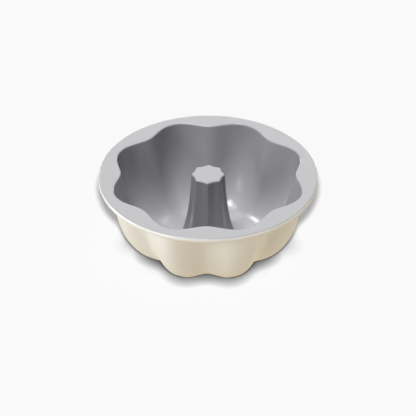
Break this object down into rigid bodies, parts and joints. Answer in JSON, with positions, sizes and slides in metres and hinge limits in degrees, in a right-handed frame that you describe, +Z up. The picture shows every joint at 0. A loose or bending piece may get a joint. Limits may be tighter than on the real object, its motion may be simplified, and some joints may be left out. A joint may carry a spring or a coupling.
{
  "type": "bundt pan",
  "caption": "Round ring cake pan with a lobed wall, a broad flat rim and a fluted closed centre tube; grey inside, cream outside.",
  "frame": {"origin": "on the table, under the middle of the pan", "axes": "+Z up along the tube's axis; a valley of the wall faces -Y, the front"},
  "size_m": [0.26, 0.26, 0.101],
  "materials": {
    "shell_steel": "pressed sheet, hidden under the coats",
    "tube_steel": "drawn sheet, hidden under the coats",
    "wire_steel": "drawn wire, hidden in the rolled rim",
    "release_ceramic": "sprayed sol-gel release coat, satin grey",
    "outer_ceramic": "sprayed coat, satin cream"
  },
  "bodies": {
    "root": {"pan_shell": "shell_steel", "centre_tube": "tube_steel", "rim_wire": "wire_steel", "inner_coat": "release_ceramic", "outer_coat": "outer_ceramic"}
  },
  "joints": []
}
